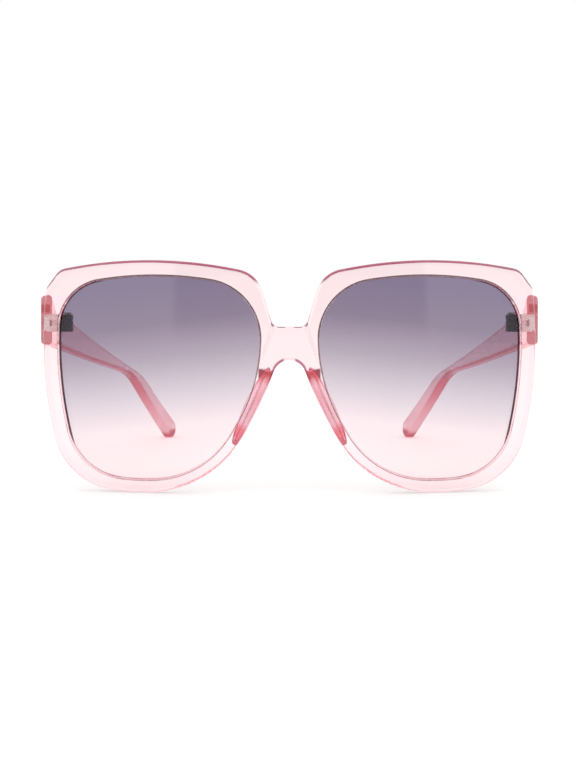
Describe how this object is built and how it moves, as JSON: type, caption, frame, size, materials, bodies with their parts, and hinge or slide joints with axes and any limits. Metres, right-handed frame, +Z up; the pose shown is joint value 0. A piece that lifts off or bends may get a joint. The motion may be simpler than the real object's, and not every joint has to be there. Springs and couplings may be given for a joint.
{
  "type": "oversized sunglasses",
  "caption": "Oversized square sunglasses with a see-through moulded front, gradient lenses in grooves, moulded nose pads and temples that fold on barrel hinges.",
  "frame": {"origin": "middle of the bounding box on the table, with the temples open", "axes": "+X to the wearer's left, +Y from the front towards the temple tips, +Z up"},
  "size_m": [0.1476, 0.1582, 0.0684],
  "materials": {
    "crystal_plastic": "polished, see-through pale pink",
    "gradient_lens": "polished, tinted grey-mauve at the top fading to pale pink",
    "hinge_metal": "tumbled, nickel coloured",
    "screw_metal": "turned, bright"
  },
  "bodies": {
    "front": {"front_frame": "crystal_plastic", "left_lens": "gradient_lens", "right_lens": "gradient_lens", "left_front_hinge_leaf": "hinge_metal", "right_front_hinge_leaf": "hinge_metal", "left_hinge_screw": "screw_metal", "right_hinge_screw": "screw_metal"},
    "left_temple_arm": {"left_temple": "crystal_plastic", "left_temple_hinge_leaf": "hinge_metal"},
    "right_temple_arm": {"right_temple": "crystal_plastic", "right_temple_hinge_leaf": "hinge_metal"}
  },
  "joints": [
    {"name": "left_temple_fold", "type": "hinge", "parent": "front", "child": "left_temple_arm", "pos_m": [0.0662, -0.06218, 0.04995], "axis": [0, 0, 1], "range_deg": [0, 82]},
    {"name": "right_temple_fold", "type": "hinge", "parent": "front", "child": "right_temple_arm", "pos_m": [-0.0662, -0.06218, 0.04995], "axis": [0, 0, -1], "range_deg": [0, 77]}
  ]
}
